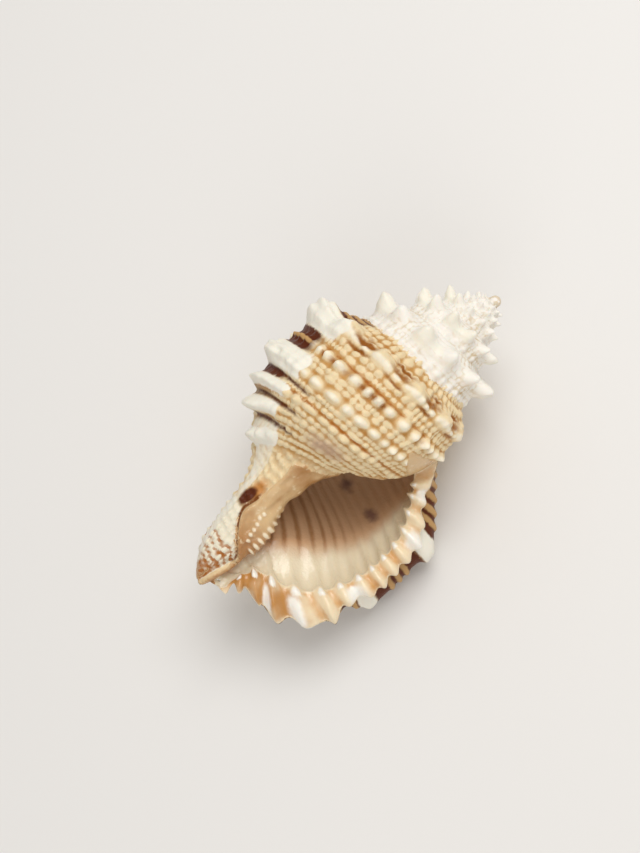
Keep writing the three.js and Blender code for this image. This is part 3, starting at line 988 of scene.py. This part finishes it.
# Aragonite, the mineral of the whole shell: dull where it was rubbed and glossy where it is glazed.
aragonite = bpy.data.materials.new("aragonite")
aragonite.use_nodes = True
tree = aragonite.node_tree
surface = tree.nodes["Principled BSDF"]
where = add(tree, "ShaderNodeTexCoord", {}).outputs["Object"]
noises = {}
for name, size in NOISE_SIZES:
    looks = {"Vector": where, "Scale": 1 / (size * MM), "Detail": 3.0}
    noises[name] = add(tree, "ShaderNodeTexNoise", looks).outputs["Fac"]
colour = linear(VALLEY_TAN)
for mark, code, starts, full, noise, how_much in LAYERS:
    drawn = add(tree, "ShaderNodeAttribute", {}, attribute_name=mark).outputs["Fac"]
    offset = {0: noises[noise], 1: how_much, 2: -0.5 * how_much}
    offset = add(tree, "ShaderNodeMath", offset, operation="MULTIPLY_ADD").outputs[0]
    broken = add(tree, "ShaderNodeMath", {0: drawn, 1: offset}, operation="ADD").outputs[0]
    step = {"Value": broken, "From Min": starts, "From Max": full}
    mask = add(tree, "ShaderNodeMapRange", step, interpolation_type="SMOOTHSTEP").outputs["Result"]
    laid = add(tree, "ShaderNodeMix", {0: mask, 6: colour, 7: linear(code)}, data_type="RGBA")
    colour = laid.outputs[2]
tree.links.new(colour, surface.inputs["Base Color"])
print("laid", len(LAYERS), "layers of colour")

# %% [markdown]
# The finish follows a mark too: the beads are dull from rubbing, and the glaze of the lip, the
# inside and the callus is glossy. Two fine bumps stand for chalky grain and for growth too fine to
# model. A little subsurface scattering softens thin edges, where light gets into the wall.

# %% Finish
gloss = add(tree, "ShaderNodeAttribute", {}, attribute_name="gloss").outputs["Fac"]
dull_to_glossy = {"Value": gloss, "From Min": 0.2, "From Max": 0.8, "To Min": 0.42, "To Max": 0.22}
roughness = add(tree, "ShaderNodeMapRange", dull_to_glossy).outputs["Result"]
sheen = {"Value": gloss, "From Min": 0.2, "From Max": 0.8, "To Min": 0.15, "To Max": 0.5}
specular = add(tree, "ShaderNodeMapRange", sheen).outputs["Result"]
fine = add(tree, "ShaderNodeBump", {"Height": noises["grain"], "Strength": 0.35, "Distance": 0.12 * MM})
rough = {"Height": noises["bead"], "Strength": 0.4, "Distance": 0.3 * MM, "Normal": fine.outputs["Normal"]}
rough = add(tree, "ShaderNodeBump", rough)
tree.links.new(roughness, surface.inputs["Roughness"])
tree.links.new(specular, surface.inputs["Specular IOR Level"])
tree.links.new(rough.outputs["Normal"], surface.inputs["Normal"])
surface.inputs["IOR"].default_value = 1.53
surface.inputs["Subsurface Weight"].default_value = 0.12
surface.inputs["Subsurface Radius"].default_value = (1.0, 0.6, 0.4)
surface.inputs["Subsurface Scale"].default_value = 1.2 * MM
shell.data.materials.clear()
shell.data.materials.append(aragonite)
print("aragonite has", len(tree.nodes), "nodes")

# %% [markdown]
# ## The picture
# The shell lies on a plain sheet of pale paper, wide enough to fill the camera's view.

# %% Floor
FLOOR_SIZE = 12
bpy.ops.object.select_all(action="DESELECT")
bpy.ops.mesh.primitive_plane_add(size=FLOOR_SIZE, location=(0, 0, node_low[2]))
floor = bpy.context.object
floor.name = "floor"
# Pale paper, matt.
paper = bpy.data.materials.new("pale_paper")
paper.use_nodes = True
paper.node_tree.nodes["Principled BSDF"].inputs["Base Color"].default_value = (0.8, 0.78, 0.75, 1)
paper.node_tree.nodes["Principled BSDF"].inputs["Roughness"].default_value = 0.9
floor.data.materials.append(paper)
print("the floor lies at", round(node_low[2] * 1000, 2), "mm")

# %% [markdown]
# Soft studio light shows relief best from one side: a large key from the side of the apex, so that
# the beads throw short shadows towards the canal, a weaker fill across it, and a dim even world.

# %% Light
def softbox(name, direction, distance, size, watts):
    """A square area light, that far from the middle of the shell and aimed at it."""
    light = bpy.data.objects.new(name, bpy.data.lights.new(name, "AREA"))
    bpy.context.collection.objects.link(light)
    light.data.size = size
    light.data.energy = watts
    light.location = Vector(centre) + Vector(direction).normalized() * distance
    light.rotation_euler = (Vector(centre) - light.location).to_track_quat("-Z", "Y").to_euler()


softbox("key", (0.5, 0.05, 1.0), 0.7, 0.45, 3.0)
softbox("fill", (-0.6, -0.9, 0.7), 0.8, 0.6, 1.2)
world = bpy.data.worlds.new("studio")
bpy.context.scene.world = world
world.use_nodes = True
world.node_tree.nodes["Background"].inputs["Color"].default_value = (1, 0.98, 0.96, 1)
world.node_tree.nodes["Background"].inputs["Strength"].default_value = 0.5
bpy.context.scene.view_settings.view_transform = "Standard"
print("lit by", len(bpy.data.lights), "softboxes")

# %% [markdown]
# The camera looks straight into the mouth, across the axis of growth, with the shell tilted in
# the picture so that the apex is at the upper right and the canal at the lower left.

# %% Camera
# How far the shell is tilted in the picture, and then in metres how far off the camera is, how
# wide its view is at the shell, and how far from the middle of that view the shell lies.
TILT = math.radians(39.7)
DISTANCE = 0.30
ACROSS = 0.1646
ASIDE = 0.0055
ABOVE = 0.0023
turned = lay_down.to_3x3()
to_apex = turned @ Vector((0, 0, 1))
to_lip = turned @ Vector((1, 0, 0))
to_viewer = turned @ Vector((0, -1, 0))
right = to_apex * math.cos(TILT) + to_lip * math.sin(TILT)
up = to_apex * math.sin(TILT) - to_lip * math.cos(TILT)
halfway = turned @ Vector((CANAL_BEND * MM / 2, 0, -LENGTH * MM / 2)) + Vector(shift)
aim = halfway - right * ASIDE + up * ABOVE
camera = bpy.data.objects.new("camera", bpy.data.cameras.new("camera"))
bpy.context.collection.objects.link(camera)
looking = Matrix((right, up, to_viewer)).transposed().to_4x4()
camera.matrix_world = Matrix.Translation(aim + to_viewer * DISTANCE) @ looking
camera.data.lens = camera.data.sensor_width * DISTANCE / ACROSS
bpy.context.scene.camera = camera
print("the camera is", round(DISTANCE * 1000), "mm away")

# %% [markdown]
# This shell should fill the box of the solid one.

# %% The end
print("the scene is built")
